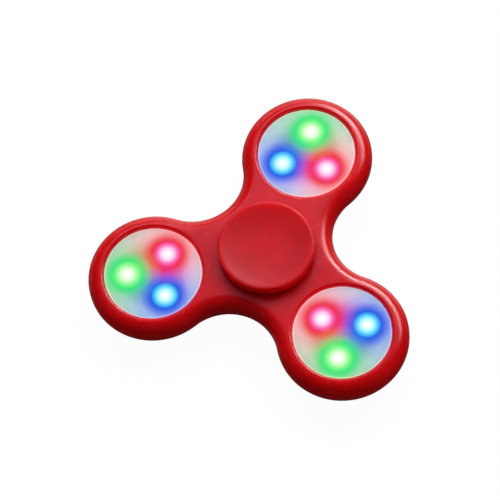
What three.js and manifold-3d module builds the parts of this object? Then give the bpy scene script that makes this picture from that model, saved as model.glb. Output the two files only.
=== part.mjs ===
// Three-lobed finger spinner with a round, lit module in each lobe.
// Millimetres, +Z up. The origin is the middle of the bearing, on the spin axis; the lenses face +Z.
import * as THREE from "three";
import { mergeVertices } from "three/addons/utils/BufferGeometryUtils.js";
import Module from "manifold-3d";

const wasm = await Module();
wasm.setup();

// ---------------------------------------------------------------- driving dimensions

// Ball bearing: 22 mm outside, 8 mm bore, 7 mm wide.
const BEARING_RADIUS = 11;
const BEARING_BORE_RADIUS = 4;
const BEARING_WIDTH = 7;
const BEARING_CHAMFER = 0.3;
const BALL_COUNT = 7;
const BALL_RADIUS = 1.984;
const GROOVE_CLEARANCE = 0.116; // a race's groove is this much larger in radius than a ball
const LAND_HALF_GAP = 1.33; // from the pitch circle to the plain land of either race
const SHIELD_THICKNESS = 0.35;
const SHIELD_DEPTH = 0.25; // outer face of a shield, below the face of the bearing
const SHIELD_LIP = 0.77; // how far a shield reaches into its seat in the outer race
const SHIELD_RUNNING_GAP = 0.18; // between a shield and the turning inner race
const SHIELD_SEAT_GAP = 0.1;
const CAGE_HALF_WIDTH = 0.7;
const CAGE_THICKNESS = 0.3;
const CAGE_PLAY = 0.3; // between a ball and its pocket in the cage
const BEARING_SEAT_GAP = 0.06; // between the bearing and the bore of the frame

// Frame.
const LOBE_COUNT = 3;
const WEB_WIDTH = 4.94; // material between the bearing's bore and a light pocket
const WAIST_WALL = 5.04; // material between the bearing's bore and the waist of the outline
const RIM_WIDTH = 4; // material round a light pocket
const EDGE_ROUND = 3.45; // rounding of the frame's outer edge
const EDGE_FLAT = 0.1; // least straight stretch left between the two roundings
const RIM_ROUND = 0.65; // width of the rounding between a rim's top and its pocket
const BORE_CHAMFER = 0.3;

// Finger caps.
const CAP_OVERLAP = 0.64; // cap, past the edge of the bearing's bore
const CAP_THICKNESS = 2.7;
const CAP_EDGE_ROUND = 0.35;
const CAP_AIR = 0.65; // between the frame and the underside of a cap
const CAP_RIM_WIDTH = 1.15; // flat ring round the dish
const DISH_DEPTH = 0.6;
const SHOULDER_INSET = 0.17; // from the inner race's plain land to the edge of the step that rests on it
const SHOULDER_GAP = 0.05;
const STEM_CLEARANCE = 0.06; // between a stem and the bearing's bore
const STEM_WALL = 2;
const STEM_END_GAP = 0.2; // from the end of a stem to the middle of the bearing
const CAP_CORE_WALL = 1.4; // wall outside the cored ring under a cap
const CAP_CORE_DEPTH = 1.2;
const CAP_CORE_INSET = 1.2; // from the shoulder to the cored ring

// Light modules, from the rear up.
const REAR_RECESS = 0.25; // module's rear face, below the frame's
const HOUSING_FLOOR = 0.6;
const HOUSING_WALL = 0.9;
const HOUSING_CLEARANCE = 0.15; // between a housing and its pocket
const BEAD_HEIGHT = 0.3; // snap bead round a housing
const BEAD_HALF_LENGTH = 0.4;
const BEAD_CLEARANCE = 0.2;
const SEAT_GAP = 0.05; // between pieces stacked in a module
const CONTACT_THICKNESS = 0.15;
const CONTACT_WIDTH = 2.4;
const CONTACT_CLEARANCE = 0.5; // between the button's flange and a contact
const CELL_RADIUS = 3.95;
const CELL_HEIGHT = 3.6;
const CELL_CAP_RADIUS = 3.05; // negative cap
const CELL_CAP_HEIGHT = 0.25;
const CELL_CLEARANCE = 0.45; // between a cell and the housing's wall
const BOARD_THICKNESS = 0.5;
const BOARD_CLEARANCE = 0.15;
const POST_RADIUS = 1.3; // posts that carry the circuit board
const POST_WALL_GAP = 0.45;
const PIN_RADIUS = 0.5; // locating pins on the posts
const PIN_CLEARANCE = 0.12;
const PIN_RISE = 0.3; // height of a pin above the board
const LED_LENGTH = 3.5;
const LED_WIDTH = 2.8;
const LED_HEIGHT = 0.75;
const LED_RING_RADIUS = 6.3;
const LED_AIR = 0.1; // between an LED and the lens
const CHIP_RADIUS = 2.6;
const CHIP_HEIGHT = 0.6;
const LENS_THICKNESS = 0.7;
const LENS_CLEARANCE = 0.1; // between a lens and its pocket
const LENS_CHAMFER = 0.2;
const LENS_RECESS = 0.75; // lens's face, below the frame's top
const SKIRT_THICKNESS = 0.6;
const SKIRT_CLEARANCE = 0.1;
// Each module sits turned in its round pocket, as it happened to be pushed in, in degrees.
const MODULE_TURNS = [10.4, -11.9, -49.8];

// Switch and push button of a module.
const SWITCH_SIDE = 3.4;
const SWITCH_HEIGHT = 1.6;
const SWITCH_CLEARANCE = 0.2; // between the switch's corners and the cells
const SWITCH_BORE_DEPTH = 0.9;
const PLUNGER_RADIUS = 0.8;
const PLUNGER_CLEARANCE = 0.15;
const PLUNGER_LENGTH = 0.9;
const PLUNGER_RISE = 0.35; // how far the plunger stands out of the switch
const BUTTON_RADIUS = 1.3;
const BUTTON_CLEARANCE = 0.15;
const BUTTON_PROUD = 0.35; // how far the button stands out of the module's rear face
const BUTTON_FLANGE_STEP = 0.6;
const BUTTON_FLANGE_THICKNESS = 0.5;
const BUTTON_STEM_RADIUS = 1;
const BUTTON_CHAMFER = 0.2;

// Facets round a full turn, and steps along an arc of a profile.
const FACETS = 32;
const BEARING_FACETS = 28;
const SMALL_FACETS = 16;
const FINE_FACETS = 10;
const LOBE_STEPS = 20;
const WAIST_STEPS = 7;
const EDGE_STEPS = 4;
const RIM_STEPS = 2;
const GROOVE_STEPS = 4;
const DISH_STEPS = 3;
const BALL_FACETS = [8, 6];
const OVERSHOOT = 1; // how far a cutting tool reaches past what it cuts
const MERGE_DISTANCE = 1e-4;

// ---------------------------------------------------------------- derived places

const TURN = 2 * Math.PI;
const PITCH_RADIUS = (BEARING_RADIUS + BEARING_BORE_RADIUS) / 2;
const BEARING_HALF = BEARING_WIDTH / 2;
const INNER_LAND = PITCH_RADIUS - LAND_HALF_GAP;
const OUTER_LAND = PITCH_RADIUS + LAND_HALF_GAP;
const SHIELD_TOP = BEARING_HALF - SHIELD_DEPTH;
const SHIELD_BOTTOM = SHIELD_TOP - SHIELD_THICKNESS;
const SHIELD_RADIUS = OUTER_LAND + SHIELD_LIP;

const CELL_RING_RADIUS = Math.SQRT1_2 * SWITCH_SIDE + SWITCH_CLEARANCE + CELL_RADIUS;
const HOUSING_INNER = CELL_RING_RADIUS + CELL_RADIUS + CELL_CLEARANCE;
const HOUSING_RADIUS = HOUSING_INNER + HOUSING_WALL;
const POCKET_RADIUS = HOUSING_RADIUS + HOUSING_CLEARANCE;
const LENS_RADIUS = POCKET_RADIUS - LENS_CLEARANCE;
const POST_RING_RADIUS = HOUSING_INNER - POST_WALL_GAP - POST_RADIUS;

// A module's height is the height of what it stacks.
const MODULE_HEIGHT = HOUSING_FLOOR + CONTACT_THICKNESS + CELL_HEIGHT + BOARD_THICKNESS
  + LED_HEIGHT + LED_AIR + LENS_THICKNESS + 4 * SEAT_GAP;
const BODY_THICKNESS = REAR_RECESS + MODULE_HEIGHT + LENS_RECESS;
const BODY_TOP = BODY_THICKNESS / 2;
const MODULE_REAR = -BODY_TOP + REAR_RECESS;
const FLOOR_TOP = MODULE_REAR + HOUSING_FLOOR;
const CONTACT_BOTTOM = FLOOR_TOP + SEAT_GAP;
const CELL_BOTTOM = CONTACT_BOTTOM + CONTACT_THICKNESS + SEAT_GAP;
const BOARD_BOTTOM = CELL_BOTTOM + CELL_HEIGHT + SEAT_GAP;
const BOARD_TOP = BOARD_BOTTOM + BOARD_THICKNESS;
const LENS_TOP = BODY_TOP - LENS_RECESS;
const LENS_BOTTOM = LENS_TOP - LENS_THICKNESS;
const SWITCH_TOP = BOARD_BOTTOM - SEAT_GAP;
const SWITCH_BOTTOM = SWITCH_TOP - SWITCH_HEIGHT;
const PLUNGER_BOTTOM = SWITCH_BOTTOM - PLUNGER_RISE;

const BORE_RADIUS = BEARING_RADIUS + BEARING_SEAT_GAP;
const LOBE_DISTANCE = BORE_RADIUS + WEB_WIDTH + POCKET_RADIUS;
const LOBE_RADIUS = POCKET_RADIUS + RIM_WIDTH;
const FRAME_EDGE_ROUND = Math.min(EDGE_ROUND, BODY_TOP - EDGE_FLAT);
// The waist curve touches both neighbouring lobes and leaves WAIST_WALL outside the bearing's bore.
const WAIST_INSIDE = BORE_RADIUS + WAIST_WALL;
const WAIST_RADIUS = (
  WAIST_INSIDE ** 2 + LOBE_DISTANCE ** 2 - WAIST_INSIDE * LOBE_DISTANCE - LOBE_RADIUS ** 2
) / (2 * LOBE_RADIUS + LOBE_DISTANCE - 2 * WAIST_INSIDE);

const CAP_RADIUS = BORE_RADIUS + CAP_OVERLAP;
const SHOULDER_RADIUS = INNER_LAND - SHOULDER_INSET;
const CAP_BOTTOM = BODY_TOP + CAP_AIR;
const CAP_TOP = CAP_BOTTOM + CAP_THICKNESS;

// ---------------------------------------------------------------- shape helpers

// A closed geometry as a solid that can be joined and cut.
function solidOf(geometry) {
  const bare = geometry.clone();
  bare.deleteAttribute("normal");
  bare.deleteAttribute("uv");
  const merged = mergeVertices(bare, MERGE_DISTANCE);
  return new wasm.Manifold(new wasm.Mesh({
    numProp: 3,
    vertProperties: merged.attributes.position.array,
    triVerts: new Uint32Array(merged.index.array),
  }));
}

// A solid as a geometry again.
function geometryOf(solid) {
  const made = solid.getMesh();
  const geometry = new THREE.BufferGeometry();
  geometry.setAttribute("position", new THREE.BufferAttribute(made.vertProperties, made.numProp));
  geometry.setIndex(new THREE.BufferAttribute(made.triVerts, 1));
  geometry.computeVertexNormals();
  return geometry;
}

// A profile of [radius, height] points turned about Z. It starts and ends on the axis, or it closes
// on itself, and it runs anticlockwise.
function turned(profile, facets = FACETS) {
  const points = profile.map(([radius, height]) => new THREE.Vector2(radius, height));
  return new THREE.LatheGeometry(points, facets).rotateX(Math.PI / 2);
}

function turnedRing(profile, facets = FACETS) {
  return turned([...profile, profile[0]], facets);
}

// A round bar on Z between two heights.
function bar(radius, bottom, top, facets) {
  return turned([[0, bottom], [radius, bottom], [radius, top], [0, top]], facets);
}

// A box given by its lowest and highest corners.
function block(low, high) {
  const size = high.map((value, i) => value - low[i]);
  const middle = high.map((value, i) => (value + low[i]) / 2);
  return new THREE.BoxGeometry(...size).translate(...middle);
}

// Points along an elliptical arc, both ends included.
function arc([x, y], [radiusX, radiusY], from, to, steps) {
  return Array.from({ length: steps + 1 }, (_, i) => {
    const angle = from + (to - from) * i / steps;
    return [x + radiusX * Math.cos(angle), y + radiusY * Math.sin(angle)];
  });
}

function polar(radius, angle) {
  return [radius * Math.cos(angle), radius * Math.sin(angle)];
}

function lobeAngle(lobe) {
  return TURN / 4 + TURN * lobe / LOBE_COUNT;
}

// ---------------------------------------------------------------- materials

function finish(color, roughness, metalness = 0) {
  return new THREE.MeshStandardMaterial({ color, roughness, metalness });
}

const RED_GLOSS = finish(0xc0142a, 0.28);
const RED_MATTE = finish(0xbd2233, 0.5);
const MILKY = finish(0xf2dfe6, 0.35);
const WHITE = finish(0xeeeae4, 0.45);
const STEEL = finish(0xc4c8cc, 0.25, 1);
const BRASS = finish(0xc9a24b, 0.35, 1);
const BOARD_GREEN = finish(0x1f6b3a, 0.5);
const BLACK = finish(0x16161a, 0.5);

function named(name, geometry, material) {
  const mesh = new THREE.Mesh(geometry, material);
  mesh.name = name;
  return mesh;
}

// ---------------------------------------------------------------- frame

function frameOutline() {
  const waistDistance = WAIST_INSIDE + WAIST_RADIUS;
  const points = [];
  for (let lobe = 0; lobe < LOBE_COUNT; lobe++) {
    const here = polar(LOBE_DISTANCE, lobeAngle(lobe));
    const next = polar(LOBE_DISTANCE, lobeAngle(lobe + 1));
    const before = polar(waistDistance, lobeAngle(lobe - 0.5));
    const after = polar(waistDistance, lobeAngle(lobe + 0.5));
    const lobeStart = Math.atan2(before[1] - here[1], before[0] - here[0]);
    const lobeSweep = unwound(Math.atan2(after[1] - here[1], after[0] - here[0]) - lobeStart);
    const waistStart = Math.atan2(here[1] - after[1], here[0] - after[0]);
    const waistSweep = -unwound(waistStart - Math.atan2(next[1] - after[1], next[0] - after[0]));
    const lobeEnd = lobeStart + lobeSweep;
    const waistEnd = waistStart + waistSweep;
    const roundLobe = arc(here, [LOBE_RADIUS, LOBE_RADIUS], lobeStart, lobeEnd, LOBE_STEPS);
    const roundWaist = arc(after, [WAIST_RADIUS, WAIST_RADIUS], waistStart, waistEnd, WAIST_STEPS);
    points.push(...roundLobe, ...roundWaist.slice(1, -1));
  }
  return new THREE.Shape(points.map(([x, y]) => new THREE.Vector2(x, y)));
}

// The same angle between 0 and a full turn.
function unwound(angle) {
  return (angle % TURN + TURN) % TURN;
}

// Through pocket for a light module: rounded rims, and a groove for the housing's snap bead.
function pocketCutter() {
  const grooveRadius = HOUSING_RADIUS + BEAD_HEIGHT + BEAD_CLEARANCE;
  const grooveHalf = BEAD_HALF_LENGTH + BEAD_CLEARANCE;
  const rear = arc([POCKET_RADIUS + REAR_RECESS, MODULE_REAR], [REAR_RECESS, REAR_RECESS],
    1.5 * Math.PI, Math.PI, RIM_STEPS);
  const front = arc([POCKET_RADIUS + RIM_ROUND, LENS_TOP], [RIM_ROUND, LENS_RECESS],
    Math.PI, Math.PI / 2, RIM_STEPS);
  return turned([
    [0, -BODY_TOP - OVERSHOOT],
    [POCKET_RADIUS + REAR_RECESS, -BODY_TOP - OVERSHOOT],
    ...rear,
    [POCKET_RADIUS, -grooveHalf],
    [grooveRadius, -BEAD_CLEARANCE],
    [grooveRadius, BEAD_CLEARANCE],
    [POCKET_RADIUS, grooveHalf],
    ...front,
    [POCKET_RADIUS + RIM_ROUND, BODY_TOP + OVERSHOOT],
    [0, BODY_TOP + OVERSHOOT],
  ]);
}

// Straight bore for the bearing, chamfered at both faces.
function boreCutter() {
  const flare = BORE_RADIUS + BORE_CHAMFER;
  return turned([
    [0, -BODY_TOP - OVERSHOOT],
    [flare, -BODY_TOP - OVERSHOOT],
    [flare, -BODY_TOP],
    [BORE_RADIUS, -BODY_TOP + BORE_CHAMFER],
    [BORE_RADIUS, BODY_TOP - BORE_CHAMFER],
    [flare, BODY_TOP],
    [flare, BODY_TOP + OVERSHOOT],
    [0, BODY_TOP + OVERSHOOT],
  ], BEARING_FACETS);
}

function frameGeometry() {
  const straight = BODY_THICKNESS - 2 * FRAME_EDGE_ROUND;
  const slab = new THREE.ExtrudeGeometry(frameOutline(), {
    depth: straight,
    bevelThickness: FRAME_EDGE_ROUND,
    bevelSize: FRAME_EDGE_ROUND,
    bevelOffset: -FRAME_EDGE_ROUND,
    bevelSegments: EDGE_STEPS,
  }).translate(0, 0, -straight / 2);
  let frame = solidOf(slab).subtract(solidOf(boreCutter()));
  const pocket = pocketCutter();
  for (let lobe = 0; lobe < LOBE_COUNT; lobe++) {
    const [x, y] = polar(LOBE_DISTANCE, lobeAngle(lobe));
    frame = frame.subtract(solidOf(pocket.clone().translate(x, y, 0)));
  }
  return geometryOf(frame);
}

// ---------------------------------------------------------------- finger caps

// The cap on the lens side: a hollow stem in the bearing's bore, a shoulder on the inner race and a
// dished disc, cored underneath.
function capGeometry() {
  const stemRadius = BEARING_BORE_RADIUS - STEM_CLEARANCE;
  const hollowRadius = stemRadius - STEM_WALL;
  const coreInside = SHOULDER_RADIUS + CAP_CORE_INSET;
  const coreOutside = CAP_RADIUS - CAP_CORE_WALL;
  const faceRadius = CAP_RADIUS - CAP_EDGE_ROUND;
  const dishRadius = faceRadius - CAP_RIM_WIDTH;
  const edge = arc([faceRadius, CAP_TOP - CAP_EDGE_ROUND], [CAP_EDGE_ROUND, CAP_EDGE_ROUND],
    0, Math.PI / 2, RIM_STEPS);
  const dish = Array.from({ length: DISH_STEPS }, (_, i) => {
    const radius = dishRadius * (1 - (i + 1) / DISH_STEPS);
    return [radius, CAP_TOP - DISH_DEPTH * (1 - (radius / dishRadius) ** 2)];
  });
  return turned([
    [0, BEARING_HALF],
    [hollowRadius, BEARING_HALF],
    [hollowRadius, STEM_END_GAP],
    [stemRadius, STEM_END_GAP],
    [stemRadius, BEARING_HALF + SHOULDER_GAP],
    [SHOULDER_RADIUS, BEARING_HALF + SHOULDER_GAP],
    [SHOULDER_RADIUS, CAP_BOTTOM],
    [coreInside, CAP_BOTTOM],
    [coreInside, CAP_BOTTOM + CAP_CORE_DEPTH],
    [coreOutside, CAP_BOTTOM + CAP_CORE_DEPTH],
    [coreOutside, CAP_BOTTOM],
    [CAP_RADIUS, CAP_BOTTOM],
    ...edge,
    [dishRadius, CAP_TOP],
    ...dish,
  ]);
}

// ---------------------------------------------------------------- bearing

// A race's groove, round the middle of a ball: middle is 0 in the outer race, half a turn in the inner.
function grooveArc(middle) {
  const radius = BALL_RADIUS + GROOVE_CLEARANCE;
  const half = Math.acos(LAND_HALF_GAP / radius);
  const start = middle === 0 ? half : Math.PI + half;
  return arc([PITCH_RADIUS, 0], [radius, radius], start, start - 2 * half, GROOVE_STEPS);
}

function outerRaceGeometry() {
  const seatRadius = SHIELD_RADIUS + SHIELD_SEAT_GAP;
  const seat = SHIELD_BOTTOM - SEAT_GAP;
  return turnedRing([
    [BEARING_RADIUS, -BEARING_HALF + BEARING_CHAMFER],
    [BEARING_RADIUS, BEARING_HALF - BEARING_CHAMFER],
    [BEARING_RADIUS - BEARING_CHAMFER, BEARING_HALF],
    [seatRadius, BEARING_HALF],
    [seatRadius, seat],
    [OUTER_LAND, seat],
    ...grooveArc(0),
    [OUTER_LAND, -seat],
    [seatRadius, -seat],
    [seatRadius, -BEARING_HALF],
    [BEARING_RADIUS - BEARING_CHAMFER, -BEARING_HALF],
  ], BEARING_FACETS);
}

function innerRaceGeometry() {
  return turnedRing([
    [BEARING_BORE_RADIUS + BEARING_CHAMFER, -BEARING_HALF],
    [INNER_LAND, -BEARING_HALF],
    ...grooveArc(Math.PI),
    [INNER_LAND, BEARING_HALF],
    [BEARING_BORE_RADIUS + BEARING_CHAMFER, BEARING_HALF],
    [BEARING_BORE_RADIUS, BEARING_HALF - BEARING_CHAMFER],
    [BEARING_BORE_RADIUS, -BEARING_HALF + BEARING_CHAMFER],
  ], BEARING_FACETS);
}

function shieldGeometry() {
  const inside = INNER_LAND + SHIELD_RUNNING_GAP;
  return turnedRing([
    [inside, SHIELD_BOTTOM],
    [SHIELD_RADIUS, SHIELD_BOTTOM],
    [SHIELD_RADIUS, SHIELD_TOP],
    [inside, SHIELD_TOP],
  ], BEARING_FACETS);
}

function ballPlace(ball) {
  return [...polar(PITCH_RADIUS, TURN * ball / BALL_COUNT), 0];
}

// A flat band that swells round each ball.
function cageGeometry() {
  const pocketRadius = BALL_RADIUS + CAGE_PLAY;
  const swellRadius = pocketRadius + CAGE_THICKNESS;
  const band = (half) => solidOf(turnedRing([
    [PITCH_RADIUS - CAGE_HALF_WIDTH, -half],
    [PITCH_RADIUS + CAGE_HALF_WIDTH, -half],
    [PITCH_RADIUS + CAGE_HALF_WIDTH, half],
    [PITCH_RADIUS - CAGE_HALF_WIDTH, half],
  ], BEARING_FACETS));
  const spheres = (radius) => {
    const places = Array.from({ length: BALL_COUNT }, (_, ball) => ballPlace(ball));
    const solids = places.map((place) => (
      solidOf(new THREE.SphereGeometry(radius, ...BALL_FACETS).translate(...place))
    ));
    return solids.reduce((joined, solid) => joined.add(solid));
  };
  const swells = band(swellRadius).intersect(spheres(swellRadius));
  return geometryOf(band(CAGE_THICKNESS).add(swells).subtract(spheres(pocketRadius)));
}

function bearing() {
  const group = new THREE.Group();
  group.add(
    named("bearing_outer_race", outerRaceGeometry(), STEEL),
    named("bearing_inner_race", innerRaceGeometry(), STEEL),
    named("bearing_cage", cageGeometry(), BRASS),
    named("bearing_shield_top", shieldGeometry(), STEEL),
    named("bearing_shield_bottom", shieldGeometry().rotateX(Math.PI), STEEL),
  );
  for (let ball = 0; ball < BALL_COUNT; ball++) {
    const round = new THREE.SphereGeometry(BALL_RADIUS, ...BALL_FACETS);
    const mesh = named(`bearing_ball_${ball + 1}`, round, STEEL);
    mesh.position.set(...ballPlace(ball));
    group.add(mesh);
  }
  return group;
}

// ---------------------------------------------------------------- light modules

// Cup with a snap bead, a hole for the push button, and posts with pins that carry the board.
function housingGeometry() {
  const holeRadius = BUTTON_RADIUS + BUTTON_CLEARANCE;
  const top = LENS_BOTTOM - SEAT_GAP;
  let housing = solidOf(turnedRing([
    [holeRadius, MODULE_REAR],
    [HOUSING_RADIUS - REAR_RECESS, MODULE_REAR],
    [HOUSING_RADIUS, MODULE_REAR + REAR_RECESS],
    [HOUSING_RADIUS, -BEAD_HALF_LENGTH],
    [HOUSING_RADIUS + BEAD_HEIGHT, 0],
    [HOUSING_RADIUS, BEAD_HALF_LENGTH],
    [HOUSING_RADIUS, top],
    [HOUSING_INNER, top],
    [HOUSING_INNER, FLOOR_TOP],
    [holeRadius, FLOOR_TOP],
  ]));
  const root = FLOOR_TOP - HOUSING_FLOOR / 2;
  const post = turned([
    [0, root],
    [POST_RADIUS, root],
    [POST_RADIUS, BOARD_BOTTOM - SEAT_GAP],
    [PIN_RADIUS, BOARD_BOTTOM - SEAT_GAP],
    [PIN_RADIUS, BOARD_TOP + PIN_RISE],
    [0, BOARD_TOP + PIN_RISE],
  ], FINE_FACETS);
  for (const [x, y] of threePlaces(POST_RING_RADIUS)) {
    housing = housing.add(solidOf(post.clone().translate(x, y, 0)));
  }
  return geometryOf(housing);
}

// Three places round a module, evenly spaced from its own X axis or from the angle given.
function threePlaces(radius, from = 0) {
  return [0, 1, 2].map((step) => polar(radius, from + TURN * step / 3));
}

function boardGeometry() {
  let board = solidOf(bar(HOUSING_INNER - BOARD_CLEARANCE, BOARD_BOTTOM, BOARD_TOP));
  const hole = bar(PIN_RADIUS + PIN_CLEARANCE, BOARD_BOTTOM - OVERSHOOT, BOARD_TOP + OVERSHOOT, FINE_FACETS);
  for (const [x, y] of threePlaces(POST_RING_RADIUS)) {
    board = board.subtract(solidOf(hole.clone().translate(x, y, 0)));
  }
  return geometryOf(board);
}

// Flat disc with a skirt that holds the board down on its posts.
function lensGeometry() {
  const skirtOutside = HOUSING_INNER - SKIRT_CLEARANCE;
  const skirtInside = skirtOutside - SKIRT_THICKNESS;
  return turned([
    [0, LENS_BOTTOM],
    [skirtInside, LENS_BOTTOM],
    [skirtInside, BOARD_TOP + SEAT_GAP],
    [skirtOutside, BOARD_TOP + SEAT_GAP],
    [skirtOutside, LENS_BOTTOM],
    [LENS_RADIUS, LENS_BOTTOM],
    [LENS_RADIUS, LENS_TOP - LENS_CHAMFER],
    [LENS_RADIUS - LENS_CHAMFER, LENS_TOP],
    [0, LENS_TOP],
  ]);
}

// Button cell standing on its can, with the smaller negative cap up.
function cellGeometry() {
  const canTop = CELL_HEIGHT - CELL_CAP_HEIGHT;
  return turned([
    [0, 0],
    [CELL_RADIUS, 0],
    [CELL_RADIUS, canTop],
    [CELL_CAP_RADIUS, canTop],
    [CELL_CAP_RADIUS, CELL_HEIGHT],
    [0, CELL_HEIGHT],
  ], SMALL_FACETS).translate(0, 0, -CELL_HEIGHT / 2);
}

// Strips under the cells run past the button's flange, square to a post's direction.
const CONTACT_INSIDE = BUTTON_RADIUS + BUTTON_FLANGE_STEP + CONTACT_CLEARANCE;
const CONTACT_REACH = CELL_RING_RADIUS;
const CONTACT_TOP = CONTACT_BOTTOM + CONTACT_THICKNESS;

// Strip that joins two cells.
function bridgeGeometry() {
  return block(
    [CONTACT_INSIDE, -CONTACT_REACH, CONTACT_BOTTOM],
    [CONTACT_INSIDE + CONTACT_WIDTH, CONTACT_REACH, CONTACT_TOP],
  );
}

// Strip from one cell, with a tab that rises to the board.
function returnGeometry() {
  const strip = block(
    [CONTACT_INSIDE, -CONTACT_REACH, CONTACT_BOTTOM],
    [CONTACT_INSIDE + CONTACT_WIDTH, 0, CONTACT_TOP],
  );
  const tab = block(
    [CONTACT_INSIDE, -CONTACT_THICKNESS, CONTACT_BOTTOM],
    [CONTACT_INSIDE + CONTACT_WIDTH, 0, BOARD_BOTTOM - SEAT_GAP],
  );
  return geometryOf(solidOf(strip).add(solidOf(tab)));
}

// Square switch under the board, bored for its plunger.
function switchGeometry() {
  const half = SWITCH_SIDE / 2;
  const box = block([-half, -half, SWITCH_BOTTOM], [half, half, SWITCH_TOP]);
  const bore = bar(PLUNGER_RADIUS + PLUNGER_CLEARANCE, SWITCH_BOTTOM - OVERSHOOT,
    SWITCH_BOTTOM + SWITCH_BORE_DEPTH, FINE_FACETS);
  return geometryOf(solidOf(box).subtract(solidOf(bore)));
}

function plungerGeometry() {
  return bar(PLUNGER_RADIUS, PLUNGER_BOTTOM, PLUNGER_BOTTOM + PLUNGER_LENGTH, FINE_FACETS);
}

// Push button: a pip through the floor, a flange inside that keeps it in, and a stem to the plunger.
function buttonGeometry() {
  const flangeRadius = BUTTON_RADIUS + BUTTON_FLANGE_STEP;
  const tip = MODULE_REAR - BUTTON_PROUD;
  const flangeBottom = FLOOR_TOP + SEAT_GAP;
  const flangeTop = flangeBottom + BUTTON_FLANGE_THICKNESS;
  return turned([
    [0, tip],
    [BUTTON_RADIUS - BUTTON_CHAMFER, tip],
    [BUTTON_RADIUS, tip + BUTTON_CHAMFER],
    [BUTTON_RADIUS, flangeBottom],
    [flangeRadius, flangeBottom],
    [flangeRadius, flangeTop],
    [BUTTON_STEM_RADIUS, flangeTop],
    [BUTTON_STEM_RADIUS, PLUNGER_BOTTOM - SEAT_GAP],
    [0, PLUNGER_BOTTOM - SEAT_GAP],
  ], SMALL_FACETS);
}

// Drop of black resin over the controller, on the middle of the board.
function chipGeometry() {
  const bottom = BOARD_TOP + SEAT_GAP;
  const dome = arc([0, bottom], [CHIP_RADIUS, CHIP_HEIGHT], 0, Math.PI / 2, RIM_STEPS);
  dome[dome.length - 1][0] = 0;
  return turned([[0, bottom], ...dome], SMALL_FACETS);
}

function ledMesh(name, [x, y], angle) {
  const bottom = BOARD_TOP + SEAT_GAP;
  const mesh = named(name, new THREE.BoxGeometry(LED_WIDTH, LED_LENGTH, LED_HEIGHT), WHITE);
  mesh.position.set(x, y, bottom + LED_HEIGHT / 2);
  mesh.rotation.z = angle;
  return mesh;
}

// One module about its own axis. Its X axis points at the green LED; green, blue and red follow
// anticlockwise, and the cells stand between them.
function lightModule(number) {
  const group = new THREE.Group();
  const add = (name, geometry, material) => {
    const mesh = named(`${name}_${number}`, geometry, material);
    group.add(mesh);
    return mesh;
  };
  add("light_housing", housingGeometry(), WHITE);
  add("circuit_board", boardGeometry(), BOARD_GREEN);
  add("lens", lensGeometry(), MILKY);
  add("controller", chipGeometry(), BLACK);
  add("switch_body", switchGeometry(), BLACK);
  add("switch_plunger", plungerGeometry(), WHITE);
  add("push_button", buttonGeometry(), WHITE);
  add("contact_bridge", bridgeGeometry(), BRASS).rotation.z = TURN / 3;
  add("contact_return", returnGeometry(), BRASS);
  threePlaces(LED_RING_RADIUS).forEach((place, i) => {
    const colour = ["green", "blue", "red"][i];
    group.add(ledMesh(`led_${colour}_${number}`, place, TURN * i / 3));
  });
  threePlaces(CELL_RING_RADIUS, TURN / 6).forEach(([x, y], i) => {
    const cell = named(`button_cell_${number}${"abc"[i]}`, cellGeometry(), STEEL);
    cell.position.set(x, y, CELL_BOTTOM + CELL_HEIGHT / 2);
    // The middle cell stands the other way up, so that the strips join all three in series.
    cell.rotation.x = i === 1 ? Math.PI : 0;
    group.add(cell);
  });
  return group;
}

// ---------------------------------------------------------------- assembly

const spinner = new THREE.Group();
spinner.add(
  named("frame", frameGeometry(), RED_GLOSS),
  named("top_cap", capGeometry(), RED_MATTE),
  named("bottom_cap", capGeometry().rotateX(Math.PI), RED_MATTE),
  bearing(),
);
for (let lobe = 0; lobe < LOBE_COUNT; lobe++) {
  const light = lightModule(lobe + 1);
  light.position.set(...polar(LOBE_DISTANCE, lobeAngle(lobe)), 0);
  light.rotation.z = lobeAngle(lobe) + THREE.MathUtils.degToRad(MODULE_TURNS[lobe]);
  spinner.add(light);
}

export default spinner;
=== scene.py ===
"""Looks of a three-lobed finger spinner with lit lobes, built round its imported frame.

Lengths in the profiles and the named values are millimetres; MM turns them into Blender's metres.
"""
import math

import bmesh
import bpy
from mathutils import Matrix, Vector


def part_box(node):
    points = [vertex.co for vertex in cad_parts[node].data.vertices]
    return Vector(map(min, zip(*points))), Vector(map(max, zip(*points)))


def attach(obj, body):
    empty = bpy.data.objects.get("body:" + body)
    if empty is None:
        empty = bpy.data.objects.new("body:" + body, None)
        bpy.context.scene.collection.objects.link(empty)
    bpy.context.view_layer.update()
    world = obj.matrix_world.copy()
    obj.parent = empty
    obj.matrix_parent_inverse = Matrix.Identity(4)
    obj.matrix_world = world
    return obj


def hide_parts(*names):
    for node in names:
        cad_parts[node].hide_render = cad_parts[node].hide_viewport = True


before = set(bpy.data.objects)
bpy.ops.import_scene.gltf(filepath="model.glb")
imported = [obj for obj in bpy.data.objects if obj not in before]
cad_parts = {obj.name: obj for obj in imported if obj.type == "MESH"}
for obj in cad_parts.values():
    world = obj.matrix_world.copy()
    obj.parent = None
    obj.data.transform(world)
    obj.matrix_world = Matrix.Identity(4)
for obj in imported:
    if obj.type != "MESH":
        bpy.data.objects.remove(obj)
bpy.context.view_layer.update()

MM = 0.001
TURN = 2 * math.pi
LOBES = (1, 2, 3)
UPRIGHT = Vector((0, 0, 1))

# ---------------------------------------------------------------- camera

VIEW_AZIMUTH = math.radians(29.168)
VIEW_ELEVATION = math.radians(65.253)
VIEW_ROLL = math.radians(-9.732)
VIEW_DISTANCE = 747.94
VIEW_ASIDE = -4.117     # how far the camera stands to its own right of the middle of the lenses' plane
VIEW_ABOVE = 0.477      # and to its own top
FOCAL_LENGTH = 222.96   # on a 36 mm sensor
SENSOR_WIDTH = 36.0

# ---------------------------------------------------------------- places, from the frame


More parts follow.
